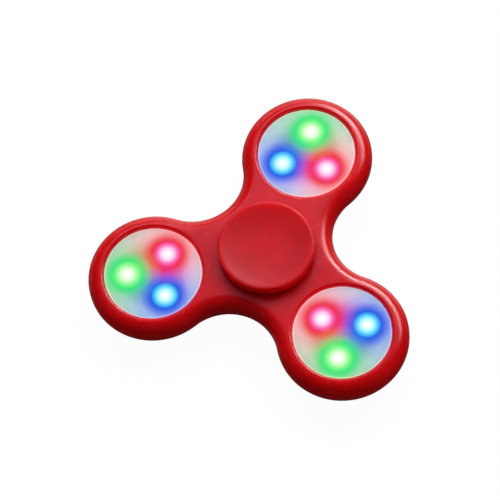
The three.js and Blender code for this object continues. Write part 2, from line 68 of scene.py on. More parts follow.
def low_high(node):
    """Lowest and highest corner of a CAD node, in millimetres."""
    low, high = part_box(node)
    return low / MM, high / MM


def middle(node):
    """Middle of a CAD node's box, in millimetres."""
    low, high = low_high(node)
    return (low + high) / 2


def reach(node, centre=Vector((0, 0, 0))):
    """Largest distance of a CAD node's corners from an upright line through centre."""
    return max((v.co / MM - centre).xy.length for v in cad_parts[node].data.vertices)


def opening(node):
    """Smallest distance of a CAD node's corners from the spin axis."""
    return min((v.co / MM).xy.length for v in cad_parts[node].data.vertices)


BODY_HIGH = low_high("frame")[1]
BODY_TOP = BODY_HIGH.z
LOBE_CENTRES = [Vector((*middle(f"lens_{lobe}").xy, 0)) for lobe in LOBES]
LOBE_DISTANCE = LOBE_CENTRES[0].length
LOBE_RADIUS = BODY_HIGH.y - LOBE_DISTANCE
LENS_TOP = low_high("lens_1")[1].z
LENS_RADIUS = reach("lens_1", LOBE_CENTRES[0])
MODULE_REAR = low_high("light_housing_1")[0].z
BUTTON_TIP = low_high("push_button_1")[0].z
CAP_TOP = low_high("top_cap")[1].z
CAP_RADIUS = reach("top_cap")
BEARING_RADIUS = reach("bearing_outer_race")
BEARING_HALF = low_high("bearing_outer_race")[1].z
BALLS = range(1, 8)
BALL_RADIUS = low_high("bearing_ball_1")[1].z
PITCH_RADIUS = middle("bearing_ball_1").length
BEARING_BORE_RADIUS = opening("bearing_inner_race")
INNER_LAND = reach("bearing_inner_race")
OUTER_LAND = opening("bearing_outer_race")
SHIELD_BOTTOM, SHIELD_TOP = (corner.z for corner in low_high("bearing_shield_top"))
SHIELD_RADIUS = reach("bearing_shield_top")
SHIELD_OPENING = opening("bearing_shield_top")
MODULE_TURNS = [
    math.atan2(*(middle(f"led_green_{lobe}") - centre).yx) for lobe, centre in zip(LOBES, LOBE_CENTRES)
]
LED_RING_RADIUS = (middle("led_green_1") - LOBE_CENTRES[0]).xy.length

# ---------------------------------------------------------------- sizes of the details

# Body
EDGE_ROUND = 3.45           # rounding of the body's outer edge
EDGE_ROUND_END = 3.3        # where that rounding is flat enough to stop
PARTING_GROOVE = 0.04
WAIST_INSIDE = 16.1         # from the spin axis to the waist of the outline
POCKET_RADIUS = 12.004
RIM_ROUND_WIDTH = 0.65      # rounding from a rim's top into its pocket
RIM_ROUND_DEPTH = BODY_TOP - LENS_TOP
REAR_ROUND = MODULE_REAR + BODY_TOP
SNAP_DEPTH = 0.3            # groove in a pocket's wall, for the ridge of a light cup
SNAP_GROOVE_HALF = 0.6
SNAP_RIDGE_HALF = 0.4
BORE_RADIUS = 11.06
BORE_CHAMFER = 0.3
LOBE_STEPS = 72
WAIST_STEPS = 24
POCKET_STEPS = 112
ROUND_STEPS = 12
RIM_STEPS = 8
REAR_STEPS = 4

# Finger caps
DISH_DEPTH = 0.7
DISH_RADIUS = 10.9
DISH_POWER = 2.7
DISH_STEPS = 24
CAP_UNDERSIDE = BODY_TOP + 0.65
CAP_SHOULDER = BEARING_HALF + 0.05      # rests on the inner race
CAP_SHOULDER_RADIUS = 6
CAP_HOLLOW_INSIDE = 7.2
CAP_HOLLOW_OUTSIDE = 10.3
CAP_HOLLOW_DEPTH = 1.2
STEM_RADIUS = 3.94
STEM_HOLLOW_RADIUS = 1.94
STEM_END = 0.2

# Bearing
GROOVE_CLEARANCE = 0.116    # a race's groove is this much larger in radius than a ball
GROOVE_STEPS = 16
SHIELD_SEAT_GAP = 0.1
SHIELD_RIM = 0.8
SHIELD_LIP = 0.4
SHIELD_STEP = 0.08          # a shield's middle lies this much deeper than its rim and lip
SHIELD_SLOPE = 0.15
SHIELD_LIP_SLOPE = 0.1
BALL_STEPS = 20

# Light modules
LENS_UNDERSIDE = LENS_TOP - 0.7
LENS_RIB_INSIDE = 10.25     # rib under the lens, inside its cup's wall
LENS_RIB_OUTSIDE = 10.85
LENS_RIB_END = 1.5
CUP_RADIUS = POCKET_RADIUS - 0.15
CUP_WALL = 0.9
CUP_FLOOR = MODULE_REAR + 0.6
CUP_TOP = LENS_TOP - 0.75
CUP_HOLE_RADIUS = 1.45      # for the push button
CUP_PANEL_INSIDE = 2.6      # sunken panel round the button on the rear face
CUP_PANEL_OUTSIDE = 8.2
CUP_PANEL_DEPTH = 0.15
BUTTON_RADIUS = 1.3
BUTTON_DISH_RADIUS = 0.7
BUTTON_DISH = 0.06
BUTTON_FLANGE_RADIUS = 1.9
BUTTON_FLANGE_REAR = -2.9
BUTTON_FLANGE_FRONT = -2.4
BUTTON_STEM_RADIUS = 1.0
BUTTON_STEM_END = -1.1
CELL_CAP_HEIGHT = 0.25
CELL_CAP_SHARE = 0.77       # a cell's negative cap, as a share of the can's radius
CELL_ROLL = 0.45            # rolled edge of the can
CELL_SEAL_DEPTH = 0.12      # seal between the rolled edge and the cap
CELL_SEAL_SLOPE = 0.05
RESIN_STEPS = 10
LED_CORNER = 0.25
LED_CORNER_LEAST = 0.1
LED_CORNER_STEPS = 4
LED_FOOT = 0.08             # chamfer round the foot of an LED
LED_EDGE = 0.06             # and round its top
LED_WELL = 0.45             # wall round the well of an LED
LED_WELL_SLOPE = 0.12
LED_WELL_DEPTH = 0.15
LED_RESIN_DEPTH = 0.1       # of the raised middle of the resin in the well

# ---------------------------------------------------------------- mesh helpers


SAME_LEVEL = 1e-7            # metres
SHARP_ANGLE = math.radians(38)


def circle(centre, radius, height, count):
    """Points round an upright axis."""
    places = [TURN * i / count for i in range(count)]
    return [(centre[0] + radius * math.cos(a), centre[1] + radius * math.sin(a), height) for a in places]


class Surface:
    """Points and faces of one piece, gathered ring by ring, in millimetres."""

    def __init__(self):
        self.points = []
        self.faces = []

    def ring(self, points):
        """Adds points and gives their numbers."""
        first = len(self.points)
        self.points.extend(points)
        return list(range(first, len(self.points)))

    def strips(self, rings):
        """Quads between each ring and the next; all have as many points."""
        for a, b in zip(rings, rings[1:]):
            for i in range(len(a)):
                j = (i + 1) % len(a)
                self.faces.append((a[i], a[j], b[j], b[i]))

    def fan(self, ring, point):
        """Triangles between a ring and one new point."""
        self.points.append(point)
        tip = len(self.points) - 1
        for i in range(len(ring)):
            self.faces.append((ring[i], ring[(i + 1) % len(ring)], tip))

    def piece(self, name, level_fills=()):
        """A mesh object. At each level in level_fills a flat face, with its holes, joins the open rings."""
        mesh = bpy.data.meshes.new(name)
        mesh.from_pydata([Vector(p) * MM for p in self.points], [], self.faces)
        work = bmesh.new()
        work.from_mesh(mesh)
        for level in level_fills:
            at_level = {v for v in work.verts if abs(v.co.z - level * MM) < SAME_LEVEL}
            rims = [e for e in work.edges if e.is_boundary and at_level.issuperset(e.verts)]
            bmesh.ops.triangle_fill(work, use_beauty=True, edges=rims, normal=UPRIGHT)
        bmesh.ops.recalc_face_normals(work, faces=work.faces)
        work.to_mesh(mesh)
        work.free()
        mesh.shade_smooth()
        mesh.set_sharp_from_angle(angle=SHARP_ANGLE)
        thing = bpy.data.objects.new(name, mesh)
        bpy.context.scene.collection.objects.link(thing)
        even = thing.modifiers.new("even_shading", "WEIGHTED_NORMAL")
        even.keep_sharp = True
        return thing


def rounded(corners, steps=5):
    """A profile of (radius, height) corners, where a third value rounds its corner by that much."""
    points = []
    for i, corner in enumerate(corners):
        here = Vector(corner[:2])
        if len(corner) < 3:
            points.append(tuple(here))
            continue
        before = (Vector(corners[i - 1][:2]) - here).normalized()
        after = (Vector(corners[(i + 1) % len(corners)][:2]) - here).normalized()
        half = before.angle(after) / 2
        setback = corner[2] / math.tan(half)
        heart = here + (before + after).normalized() * corner[2] / math.sin(half)
        start = here + before * setback - heart
        sweep = start.angle_signed(here + after * setback - heart)
        for step in range(steps + 1):
            points.append(tuple(heart + Matrix.Rotation(-sweep * step / steps, 2) @ start))
    return points


def turned(name, corners, count, centre=(0, 0, 0), ring=False):
    """A profile turned about an upright axis. It starts and ends on the axis, or closes on itself: a ring."""
    surface = Surface()
    profile = rounded(corners)
    outline = profile if ring else profile[1:-1]
    rings = [surface.ring(circle(centre, r, z + centre[2], count)) for r, z in outline]
    surface.strips(rings)
    if ring:
        surface.strips([rings[-1], rings[0]])
    else:
        surface.fan(rings[0], (centre[0], centre[1], profile[0][1] + centre[2]))
        surface.fan(rings[-1], (centre[0], centre[1], profile[-1][1] + centre[2]))
    return surface.piece(name)


def stands_for(piece, body, slot, look, *nodes):
    """The piece takes a look, replaces CAD nodes and rides on their body. The slot argument is not used."""
    piece.data.materials.append(look.material)
    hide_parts(*nodes)
    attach(piece, body)


# ---------------------------------------------------------------- material helpers

# A Mix node has sockets of the same name for numbers and for colours; these are the colours'
MIX_COLOUR_A = 6
MIX_COLOUR_B = 7
MIX_COLOUR_RESULT = 2
BLACK = (0.0, 0.0, 0.0)
WHITE = (1.0, 1.0, 1.0)


def linear(red, green, blue):
    """A linear colour from the 0 to 255 values that a screen shows."""
    parts = [value / 255 for value in (red, green, blue)]
    return tuple(p / 12.92 if p <= 0.04045 else ((p + 0.055) / 1.055) ** 2.4 for p in parts)


def set_range(node, low, high, to_low, to_high):
    """Sets the four ends of a Map Range node."""
    for socket, end in zip(("From Min", "From Max", "To Min", "To Max"), (low, high, to_low, to_high)):
        node.inputs[socket].default_value = end


class Look:
    """A Principled material, with helpers that add nodes. Sizes are in millimetres."""

    def __init__(self, name, colour, roughness, metallic=0.0, specular=0.5):
        self.material = bpy.data.materials.new(name)
        self.material.use_nodes = True
        self.nodes = self.material.node_tree.nodes
        self.links = self.material.node_tree.links
        self.shader = self.nodes["Principled BSDF"]
        self.shader.inputs["Base Color"].default_value = (*colour, 1)
        self.shader.inputs["Roughness"].default_value = roughness
        self.shader.inputs["Metallic"].default_value = metallic
        self.shader.inputs["Specular IOR Level"].default_value = specular
        self.place = self.nodes.new("ShaderNodeTexCoord").outputs["Object"]

    def join(self, source, target):
        """Links a socket, or sets a number or a colour."""
        if hasattr(source, "is_output"):
            self.links.new(source, target)
        elif isinstance(source, tuple):
            target.default_value = (*source, 1)
        else:
            target.default_value = source

    def noise(self, size, detail=3.0, roughness=0.5):
        """Noise with lumps of about that size, from 0 to 1."""
        node = self.nodes.new("ShaderNodeTexNoise")
        self.links.new(self.place, node.inputs["Vector"])
        node.inputs["Scale"].default_value = 1 / (size * MM)
        node.inputs["Detail"].default_value = detail
        node.inputs["Roughness"].default_value = roughness
        return node.outputs["Fac"]

    def math(self, kind, a, b):
        """Arithmetic on two numbers, each a number or a socket."""
        node = self.nodes.new("ShaderNodeMath")
        node.operation = kind
        self.join(a, node.inputs[0])
        self.join(b, node.inputs[1])
        return node.outputs["Value"]

    def spread(self, value, low, high, to_low=0.0, to_high=1.0, smooth=False):
        """Maps low to high onto to_low to to_high."""
        node = self.nodes.new("ShaderNodeMapRange")
        node.interpolation_type = "SMOOTHSTEP" if smooth else "LINEAR"
        self.join(value, node.inputs["Value"])
        set_range(node, low, high, to_low, to_high)
        return node.outputs["Result"]

    def mix(self, share, a, b, kind="MIX"):
        """Mix of two colours, each a tuple or a socket."""
        node = self.nodes.new("ShaderNodeMix")
        node.data_type = "RGBA"
        node.blend_type = kind
        self.join(share, node.inputs["Factor"])
        self.join(a, node.inputs[MIX_COLOUR_A])
        self.join(b, node.inputs[MIX_COLOUR_B])
        return node.outputs[MIX_COLOUR_RESULT]

    def distance(self, x=0.0, y=0.0):
        """Distance from an upright line in the object's own frame."""
        flat = self.nodes.new("ShaderNodeVectorMath")
        flat.operation = "MULTIPLY"
        self.links.new(self.place, flat.inputs[0])
        flat.inputs[1].default_value = (1 / MM, 1 / MM, 0)
        node = self.nodes.new("ShaderNodeVectorMath")
        node.operation = "DISTANCE"
        self.links.new(flat.outputs["Vector"], node.inputs[0])
        node.inputs[1].default_value = (x, y, 0)
        return node.outputs["Value"]

    def bump(self, height, depth):
        """Relief of that depth from a height between 0 and 1, on top of earlier relief."""
        node = self.nodes.new("ShaderNodeBump")
        node.inputs["Strength"].default_value = 1
        node.inputs["Distance"].default_value = depth * MM
        self.join(height, node.inputs["Height"])
        normal = self.shader.inputs["Normal"]
        if normal.is_linked:
            self.links.new(normal.links[0].from_socket, node.inputs["Normal"])
        self.links.new(node.outputs["Normal"], normal)

    def translucent(self, weight, depth, radius):
        """Light enters, and leaves again about that depth away, times radius for red, green and blue."""
        self.shader.inputs["Subsurface Weight"].default_value = weight
        self.shader.inputs["Subsurface Scale"].default_value = depth * MM
        self.shader.inputs["Subsurface Radius"].default_value = radius

    def paint(self, socket, source):
        """Links one of the shader's sockets, or sets it."""
        self.join(source, self.shader.inputs[socket])

    def rub(self, size, low, high):
        """Gloss rubbed unevenly: roughness from low to high in lumps of that size."""
        self.paint("Roughness", self.spread(self.noise(size, 4, 0.65), 0.3, 0.75, low, high))


def dimmed(colour, share):
    return tuple(part * share for part in colour)


def moulded(name, colour, roughness, grain=0.3, relief=0.003, patch=7.0, shade=0.88, specular=0.5):
    """Moulded plastic: fine grain, slow patches of colour, and a gloss rubbed unevenly."""
    look = Look(name, colour, roughness, specular=specular)
    patches = look.spread(look.noise(patch, 2), 0.35, 0.65)
    look.paint("Base Color", look.mix(patches, dimmed(colour, shade), colour))
    look.rub(patch / 4, roughness * 0.88, roughness * 1.15)
    look.bump(look.noise(grain, 3), relief)
    return look


def metal(name, colour, roughness):
    """Ground and lightly tarnished metal."""
    look = Look(name, colour, roughness, metallic=1.0)
    scuffs = look.spread(look.noise(0.6, 5, 0.7), 0.3, 0.7, roughness * 0.7, roughness * 1.4)
    look.paint("Roughness", scuffs)
    tarnish = look.spread(look.noise(2.5, 4), 0.45, 0.75)
    look.paint("Base Color", look.mix(tarnish, colour, dimmed(colour, 0.75)))
    look.bump(look.noise(0.15, 2), 0.001)
    return look


# ---------------------------------------------------------------- body

# The waist's arc touches the circles of both lobes beside it
WAIST_RADIUS = (
    WAIST_INSIDE ** 2 + LOBE_DISTANCE ** 2 - WAIST_INSIDE * LOBE_DISTANCE - LOBE_RADIUS ** 2
) / (2 * LOBE_RADIUS + LOBE_DISTANCE - 2 * WAIST_INSIDE)


def arc(centre, radius, start, end, steps):
    """Points from one turn to another about a centre."""
    turns = [start + (end - start) * i / steps for i in range(steps + 1)]
    return [(centre.x + radius * math.cos(a), centre.y + radius * math.sin(a)) for a in turns]


def outline(inset):
    """Points anticlockwise round the body's outline, moved inwards by inset."""
    points = []
    for centre in LOBE_CENTRES:
        facing = math.atan2(centre.y, centre.x)
        waist_facing = facing + TURN / 6
        waist = Vector((math.cos(waist_facing), math.sin(waist_facing), 0)) * (WAIST_INSIDE + WAIST_RADIUS)
        to_waist = (waist - centre).xy
        half = (math.atan2(to_waist.y, to_waist.x) - facing) % TURN
        points += arc(centre, LOBE_RADIUS - inset, facing - half, facing + half, LOBE_STEPS)
        back = math.atan2(-to_waist.y, -to_waist.x)
        lean = (back - waist_facing) % TURN - TURN / 2
        points += arc(waist, WAIST_RADIUS + inset, back, back - 2 * lean, WAIST_STEPS)[1:-1]
    return points


def quarter(steps):
    """Sine and cosine at even steps of a quarter turn."""
    return [(math.sin(TURN / 4 * i / steps), math.cos(TURN / 4 * i / steps)) for i in range(steps + 1)]


def body_piece():
    """Three-lobed body with a rounded edge, cut by three pockets and the bearing's bore."""
    surface = Surface()
    least = math.asin(1 - EDGE_ROUND_END / EDGE_ROUND)
    turns = [least + (TURN / 4 - least) * i / ROUND_STEPS for i in range(ROUND_STEPS + 1)]
    side = [(EDGE_ROUND * (1 - math.sin(a)), BODY_TOP - EDGE_ROUND * (1 - math.cos(a))) for a in turns]
    side[0] = (EDGE_ROUND_END, BODY_TOP)
    side += [(0, PARTING_GROOVE * 1.5), (PARTING_GROOVE, 0)]
    side += [(inset, -z) for inset, z in side[-2::-1]]
    surface.strips([surface.ring([(x, y, z) for x, y in outline(inset)]) for inset, z in side])

    rim = [(POCKET_RADIUS + RIM_ROUND_WIDTH * (1 - sine), BODY_TOP - RIM_ROUND_DEPTH * (1 - cosine))
           for sine, cosine in quarter(RIM_STEPS)]
    snap = [(POCKET_RADIUS, SNAP_GROOVE_HALF), (POCKET_RADIUS + SNAP_DEPTH, 0),
            (POCKET_RADIUS, -SNAP_GROOVE_HALF)]
    rear = [(POCKET_RADIUS + REAR_ROUND * (1 - cosine), -BODY_TOP + REAR_ROUND * (1 - sine))
            for sine, cosine in quarter(REAR_STEPS)]
    for centre in LOBE_CENTRES:
        surface.strips([surface.ring(circle(centre, r, z, POCKET_STEPS)) for r, z in rim + snap + rear])

    edge = BODY_TOP - BORE_CHAMFER
    bore = [(BORE_RADIUS + BORE_CHAMFER, BODY_TOP), (BORE_RADIUS, edge), (BORE_RADIUS, -edge),
            (BORE_RADIUS + BORE_CHAMFER, -BODY_TOP)]
    surface.strips([surface.ring(circle((0, 0), r, z, POCKET_STEPS)) for r, z in bore])
    return surface.piece("body_moulding", level_fills=(BODY_TOP, -BODY_TOP))


# ---------------------------------------------------------------- finger caps


def cap_piece(name):
    """Cap on the lens side, in its own frame."""
    hollow_top = CAP_UNDERSIDE + CAP_HOLLOW_DEPTH
    shares = [1 - i / DISH_STEPS for i in range(1, DISH_STEPS)]
    dish = [(DISH_RADIUS * share, CAP_TOP - DISH_DEPTH * (1 - share ** DISH_POWER)) for share in shares]
    return turned(name, [
        (0, BEARING_HALF), (STEM_HOLLOW_RADIUS, BEARING_HALF), (STEM_HOLLOW_RADIUS, STEM_END, 0.15),
        (STEM_RADIUS, STEM_END, 0.3), (STEM_RADIUS, CAP_SHOULDER), (CAP_SHOULDER_RADIUS, CAP_SHOULDER, 0.1),
        (CAP_SHOULDER_RADIUS, CAP_UNDERSIDE), (CAP_HOLLOW_INSIDE, CAP_UNDERSIDE, 0.1),
        (CAP_HOLLOW_INSIDE, hollow_top), (CAP_HOLLOW_OUTSIDE, hollow_top),
        (CAP_HOLLOW_OUTSIDE, CAP_UNDERSIDE, 0.1), (CAP_RADIUS, CAP_UNDERSIDE, 0.12),
        (CAP_RADIUS, CAP_TOP, 0.42), (DISH_RADIUS, CAP_TOP), *dish, (0, CAP_TOP - DISH_DEPTH),
    ], count=128)


# ---------------------------------------------------------------- bearing


def groove(facing):
    """Round groove of a race about the balls' middles. Facing is 1 in the outer race, -1 in the inner."""
    radius = BALL_RADIUS + GROOVE_CLEARANCE
    land = OUTER_LAND if facing > 0 else INNER_LAND
    half = math.acos(abs(land - PITCH_RADIUS) / radius)
    turns = [facing * (half - 2 * half * i / GROOVE_STEPS) for i in range(GROOVE_STEPS + 1)]
    return [(PITCH_RADIUS + facing * radius * math.cos(a), radius * math.sin(a)) for a in turns]


def outer_race_piece():
    """Ring with a groove inside and a seat for a shield at each end."""
    seat = SHIELD_BOTTOM - SHIELD_SEAT_GAP
    seat_radius = SHIELD_RADIUS + SHIELD_SEAT_GAP
    return turned("outer_race", [
        (BEARING_RADIUS, -BEARING_HALF, 0.35), (BEARING_RADIUS, BEARING_HALF, 0.35),
        (seat_radius, BEARING_HALF, 0.08), (seat_radius, seat), (OUTER_LAND, seat, 0.05), *groove(1),
        (OUTER_LAND, -seat, 0.05), (seat_radius, -seat), (seat_radius, -BEARING_HALF, 0.08),
    ], count=128, ring=True)


def inner_race_piece():
    """Ring with a groove outside."""
    return turned("inner_race", [
        (BEARING_BORE_RADIUS, -BEARING_HALF, 0.3), (INNER_LAND, -BEARING_HALF, 0.08), *groove(-1),
        (INNER_LAND, BEARING_HALF, 0.08), (BEARING_BORE_RADIUS, BEARING_HALF, 0.3),
    ], count=96, ring=True)


def shield_piece(name):
    """Pressed shield on the lens side, in its own frame."""
    rim = SHIELD_RADIUS - SHIELD_RIM
    lip = SHIELD_OPENING + SHIELD_LIP
    sunken = SHIELD_TOP - SHIELD_STEP
    return turned(name, [
        (SHIELD_OPENING, SHIELD_BOTTOM, 0.06), (SHIELD_RADIUS, SHIELD_BOTTOM, 0.05),
        (SHIELD_RADIUS, SHIELD_TOP, 0.1), (rim, SHIELD_TOP, 0.08), (rim - SHIELD_SLOPE, sunken, 0.05),
        (lip, sunken, 0.05), (lip - SHIELD_LIP_SLOPE, SHIELD_TOP, 0.05), (SHIELD_OPENING, SHIELD_TOP, 0.08),
    ], count=96, ring=True)


def ball_piece(ball):
    turns = [TURN / 2 * i / BALL_STEPS for i in range(BALL_STEPS + 1)]
    profile = [(BALL_RADIUS * math.sin(a), -BALL_RADIUS * math.cos(a)) for a in turns]
    return turned(f"ball_{ball}", profile, count=2 * BALL_STEPS, centre=middle(f"bearing_ball_{ball}"))


# ---------------------------------------------------------------- light modules


def module_place(lobe):
    """From a module's own frame, with X at its green LED, to its place in the lobe."""
    centre = LOBE_CENTRES[lobe - 1] * MM
    return Matrix.Translation(centre) @ Matrix.Rotation(MODULE_TURNS[lobe - 1], 4, "Z")


def lens_piece(lobe):
    """Flat disc with a rib under its edge."""
    piece = turned(f"lens_disc_{lobe}", [
        (0, LENS_UNDERSIDE), (LENS_RIB_INSIDE, LENS_UNDERSIDE), (LENS_RIB_INSIDE, LENS_RIB_END),
        (LENS_RIB_OUTSIDE, LENS_RIB_END, 0.1), (LENS_RIB_OUTSIDE, LENS_UNDERSIDE),
        (LENS_RADIUS, LENS_UNDERSIDE, 0.05), (LENS_RADIUS, LENS_TOP, 0.18), (0, LENS_TOP),
    ], count=128)
    piece.matrix_world = module_place(lobe)
    return piece


def housing_piece(lobe):
    """Cup of a light module, with a snap ridge and a sunken panel on its rear face."""
    panel = MODULE_REAR + CUP_PANEL_DEPTH
    inside = CUP_RADIUS - CUP_WALL
    piece = turned(f"light_cup_{lobe}", [
        (CUP_HOLE_RADIUS, MODULE_REAR, 0.1), (CUP_PANEL_INSIDE, MODULE_REAR, 0.05),
        (CUP_PANEL_INSIDE + CUP_PANEL_DEPTH, panel, 0.05),
        (CUP_PANEL_OUTSIDE - 2 * CUP_PANEL_DEPTH, panel, 0.05), (CUP_PANEL_OUTSIDE, MODULE_REAR, 0.05),
        (CUP_RADIUS, MODULE_REAR, 0.3), (CUP_RADIUS, -SNAP_RIDGE_HALF), (CUP_RADIUS + SNAP_DEPTH, 0, 0.1),
        (CUP_RADIUS, SNAP_RIDGE_HALF), (CUP_RADIUS, CUP_TOP, 0.05), (inside, CUP_TOP, 0.05),
        (inside, CUP_FLOOR, 0.2), (CUP_HOLE_RADIUS, CUP_FLOOR),
    ], count=112, ring=True)
    piece.matrix_world = module_place(lobe)
    return piece


def button_piece(lobe):
    """Push button with a slightly dished face, a flange inside the cup and a stem towards the switch."""
    piece = turned(f"button_cap_{lobe}", [
        (0, BUTTON_TIP + BUTTON_DISH), (BUTTON_DISH_RADIUS, BUTTON_TIP + BUTTON_DISH / 3),
        (BUTTON_RADIUS, BUTTON_TIP, 0.18), (BUTTON_RADIUS, BUTTON_FLANGE_REAR),
        (BUTTON_FLANGE_RADIUS, BUTTON_FLANGE_REAR, 0.05), (BUTTON_FLANGE_RADIUS, BUTTON_FLANGE_FRONT, 0.05),
        (BUTTON_STEM_RADIUS, BUTTON_FLANGE_FRONT), (BUTTON_STEM_RADIUS, BUTTON_STEM_END, 0.08),
        (0, BUTTON_STEM_END),
    ], count=48)
    piece.matrix_world = module_place(lobe)
    return piece


def cell_piece(node, upright):
    """Button cell: a can with a rolled edge round the smaller negative cap."""
    low, high = low_high(node)
    radius = (high.x - low.x) / 2
    height = high.z - low.z
    can = height - CELL_CAP_HEIGHT
    seal = can - CELL_SEAL_DEPTH
    roll = radius - CELL_ROLL
    cap = radius * CELL_CAP_SHARE
    profile = [
        (0, 0), (radius, 0, 0.25), (radius, can, 0.3), (roll, can, 0.1), (roll - CELL_SEAL_SLOPE, seal),
        (cap + CELL_SEAL_SLOPE, seal), (cap, can, 0.05), (cap, height, 0.18), (0, height),
    ]
    if not upright:
        profile = [(corner[0], height - corner[1], *corner[2:]) for corner in profile]
    foot = (*middle(node).xy, low.z)
    return turned(node.replace("button_cell", "coin_cell"), profile, count=64, centre=foot)


def resin_piece(lobe):
    """Drop of black resin over the flasher chip."""
    low, high = low_high(f"controller_{lobe}")
    radius = (high.x - low.x) / 2
    height = high.z - low.z
    dome = [(radius * cosine, height * sine) for sine, cosine in quarter(RESIN_STEPS)[:-1]]
    foot = (*middle(f"controller_{lobe}").xy, low.z)
    return turned(f"resin_drop_{lobe}", [(0, 0), *dome, (0, height)], count=64, centre=foot)


def rounded_rectangle(half, corner, height):
    """Points round the middle of a rectangle of that half size, with round corners."""
    points = []
    for turns, (side_x, side_y) in enumerate(((1, 1), (-1, 1), (-1, -1), (1, -1))):
        for step in range(LED_CORNER_STEPS + 1):
            a = TURN / 4 * (turns + step / LED_CORNER_STEPS)
            x = side_x * (half.x - corner) + corner * math.cos(a)
            y = side_y * (half.y - corner) + corner * math.sin(a)
            points.append((x, y, height))
    return points


def led_piece(colour, step, lobe):
    """Surface-mounted LED with a shallow well of resin, in a frame with X through it from the lobe's axis."""
    node = f"led_{colour}_{lobe}"
    place = module_place(lobe) @ Matrix.Rotation(TURN * step / 3, 4, "Z")
    corners = [place.inverted() @ v.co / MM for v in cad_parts[node].data.vertices]
    low = Vector(map(min, zip(*corners)))
    high = Vector(map(max, zip(*corners)))
    half = (high - low) / 2
    heart = (high + low) / 2
    side = [(LED_FOOT, low.z), (0, low.z + LED_FOOT), (0, high.z - LED_EDGE), (LED_EDGE, high.z),
            (LED_WELL, high.z), (LED_WELL + LED_WELL_SLOPE, high.z - LED_WELL_DEPTH)]
    surface = Surface()
    rings = []
    for inset, height in side:
        smaller = Vector((half.x - inset, half.y - inset))
        corner = max(LED_CORNER - inset / 2, LED_CORNER_LEAST)
        around = rounded_rectangle(smaller, corner, height)
        rings.append(surface.ring([(x + heart.x, y + heart.y, z) for x, y, z in around]))
    surface.strips(rings)
    surface.fan(rings[0], (heart.x, heart.y, low.z))
    surface.fan(rings[-1], (heart.x, heart.y, high.z - LED_RESIN_DEPTH))
    piece = surface.piece(f"lamp_{colour}_{lobe}")
    piece.matrix_world = place
    return piece


# ---------------------------------------------------------------- looks

RED = linear(229, 8, 20)
RED_DEPTH = 4.5               # how far light spreads in the red plastic
RED_SPREAD = (1.0, 0.06, 0.04)
CAP_SPECKLE = 0.36            # lumps of colour on the matt cap
CAP_DARK = linear(207, 5, 15)
CAP_PALE = linear(248, 16, 29)


def body_look():
    look = moulded("frame_plastic", RED, 0.25, grain=0.5, relief=0.0018, patch=11, shade=0.93, specular=0.45)
    look.translucent(0.9, RED_DEPTH, RED_SPREAD)
    return look


def cap_look():
    """The body's red with a matt, speckled face."""
    look = Look("cap_plastic", RED, 0.35, specular=0.26)
    slow = look.spread(look.noise(6, 2), 0.35, 0.65, 0.35, 0.65)
    speckle = look.spread(look.noise(CAP_SPECKLE, 3, 0.7), 0.3, 0.7, -0.3, 0.3)
    look.paint("Base Color", look.mix(look.math("ADD", slow, speckle), CAP_DARK, CAP_PALE))
    look.rub(1.5, 0.308, 0.4025)
    look.bump(look.noise(0.22, 3), 0.006)
    look.translucent(0.9, RED_DEPTH, RED_SPREAD)
    return look


# Painted light: colours of each LED's glow, painted into the milky lens: pale round a white heart, then
# bright, full, and a thin skirt
GLOWS = {
    "green": {
        "pale": linear(225, 255, 215),
        "bright": linear(145, 250, 150),
        "full": linear(80, 237, 120),
        "skirt": linear(20, 228, 116),
    },
    "blue": {
        "pale": linear(180, 255, 252),
        "bright": linear(82, 202, 252),
        "full": linear(24, 94, 228),
        "skirt": linear(28, 86, 229),
    },
    "red": {
        "pale": linear(255, 208, 245),
        "bright": linear(250, 104, 178),
        "full": linear(240, 44, 92),
        "skirt": linear(240, 14, 32),
    },
}
HEART = linear(255, 255, 252)
# Where an LED's light has each colour, and how much of the lens's own colour it hides there
GLOW_STOPS = [
    ("heart", 0, 1),
    ("heart", 0.5, 1),
    ("pale", 1.5, 1),
    ("bright", 2.5, 1),
    ("full", 3.4, 1),
    ("skirt", 4.1, 0.88),
    ("skirt", 5, 0.58),
    ("skirt", 6.2, 0.18),
    ("skirt", 8.5, 0),
]
GLOW_REACH = GLOW_STOPS[-1][1]

LED_SHADES = {"green": (0.1, 1.0, 0.25), "blue": (0.05, 0.4, 1.0), "red": (1.0, 0.06, 0.25)}
# Painted light: glow that each LED spreads further out in the lens, as emission on the lens's own colour
SPILL_GLOWS = {"green": (0.06, 0.16, 0.0), "blue": (0.0, 0.0, 0.37), "red": (0.53, 0.0, 0.09)}
SPILL_GLOW_START = 4.0
SPILL_GLOW_REACH = 14.0
LENS_COLOUR = linear(195, 225, 216)
LENS_SHADE_START = 3.0        # painted shade: the lens is darker in the middle, between the LEDs
LENS_SHADE_END = 10.5
EDGE_GLOW = (0.3, 0.2, 0.18)  # painted light: a bright rim at the lens's edge
EDGE_GLOW_START = 0.5         # how far from the edge it starts
EDGE_GLOW_FULL = 0.15         # and is full
PARALLAX = (0.20, -0.36)      # shifts the glows in the lens's face, as the LEDs lie deeper


